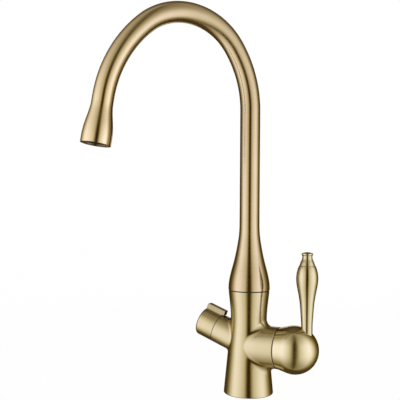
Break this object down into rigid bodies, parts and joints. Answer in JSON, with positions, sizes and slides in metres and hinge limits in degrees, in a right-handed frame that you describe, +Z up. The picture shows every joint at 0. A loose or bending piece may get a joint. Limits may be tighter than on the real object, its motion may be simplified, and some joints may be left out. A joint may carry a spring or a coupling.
{
  "type": "three way filtered water tap",
  "caption": "Deck-mounted kitchen tap with a swivelling swan-neck spout, a side mixer lever and a quarter-turn filtered water knob.",
  "frame": {"origin": "centre of the round base's underside, on the worktop", "axes": "+Z up along the body's axis, +X along the mixer arm with the lever, -Y towards the person at the sink"},
  "size_m": [0.1794, 0.1671, 0.381],
  "materials": {
    "brushed_gold": "brushed satin gold",
    "raw_brass": "machined brass",
    "stainless_steel": "turned stainless steel",
    "black_rubber": "moulded black rubber",
    "white_ceramic": "lapped white ceramic",
    "cartridge_plastic": "moulded off-white engineering plastic",
    "dark_plastic": "moulded dark grey plastic",
    "glide_plastic": "dark low-friction plastic",
    "filter_tube_plastic": "extruded white food-grade tube"
  },
  "bodies": {
    "body": {"body_casting": "brushed_gold", "base_gasket": "black_rubber", "spout_glide_ring": "glide_plastic", "spout_retaining_screw": "stainless_steel", "transfer_socket": "raw_brass", "transfer_seal": "black_rubber", "cartridge_port_seals": "black_rubber", "cartridge_base": "cartridge_plastic", "fixed_ceramic_disc": "white_ceramic", "cartridge_housing": "cartridge_plastic", "housing_seal": "black_rubber", "cartridge_nut": "raw_brass", "filter_valve_seal": "black_rubber", "filter_valve_body": "raw_brass", "filter_fixed_disc": "white_ceramic"},
    "spout": {"spout_collar": "brushed_gold", "spigot_o_rings": "black_rubber", "spout_tube": "brushed_gold", "inner_filter_tube": "filter_tube_plastic", "spout_nozzle": "brushed_gold", "aerator_seal": "black_rubber", "aerator_housing": "dark_plastic", "aerator_insert": "dark_plastic", "filter_outlet_nipple": "dark_plastic"},
    "mixer_rotor": {"cartridge_rotor": "cartridge_plastic", "lever_pivot_pin": "stainless_steel"},
    "flow_disc": {"moving_ceramic_disc": "white_ceramic", "disc_carrier": "cartridge_plastic"},
    "lever": {"cartridge_stem": "stainless_steel", "handle_hub": "brushed_gold", "hub_grub_screw": "stainless_steel", "hub_screw_plug": "brushed_gold", "lever_stud": "stainless_steel", "lever_grip": "brushed_gold", "lever_finial": "brushed_gold"},
    "filter_handle": {"filter_moving_disc": "white_ceramic", "filter_spindle": "raw_brass", "spindle_seal": "black_rubber", "spindle_circlip": "stainless_steel", "filter_knob": "brushed_gold", "filter_knob_fin": "brushed_gold", "knob_grub_screw": "stainless_steel"}
  },
  "joints": [
    {"name": "spout_swivel", "type": "hinge", "parent": "body", "child": "spout", "pos_m": [0, 0, 0.1], "axis": [0, 0, 1], "continuous": true},
    {"name": "mixer_temperature", "type": "hinge", "parent": "body", "child": "mixer_rotor", "pos_m": [0, 0, 0.0476], "axis": [1, 0, 0], "range_deg": [-45, 45]},
    {"name": "lever_tilt", "type": "hinge", "parent": "mixer_rotor", "child": "lever", "pos_m": [0.0185, 0, 0.0476], "axis": [0, 1, 0], "range_deg": [0, 20]},
    {"name": "disc_slide", "type": "slide", "parent": "mixer_rotor", "child": "flow_disc", "axis": [0, 0, 1], "range_m": [0, 0.0017]},
    {"name": "filter_turn", "type": "hinge", "parent": "body", "child": "filter_handle", "pos_m": [0, 0, 0.0488], "axis": [0.9397, 0, -0.342], "range_deg": [0, 90]}
  ],
  "couplings": [
    {"joint": "disc_slide", "follows": "lever_tilt", "m_per_rad": 0.0046}
  ]
}
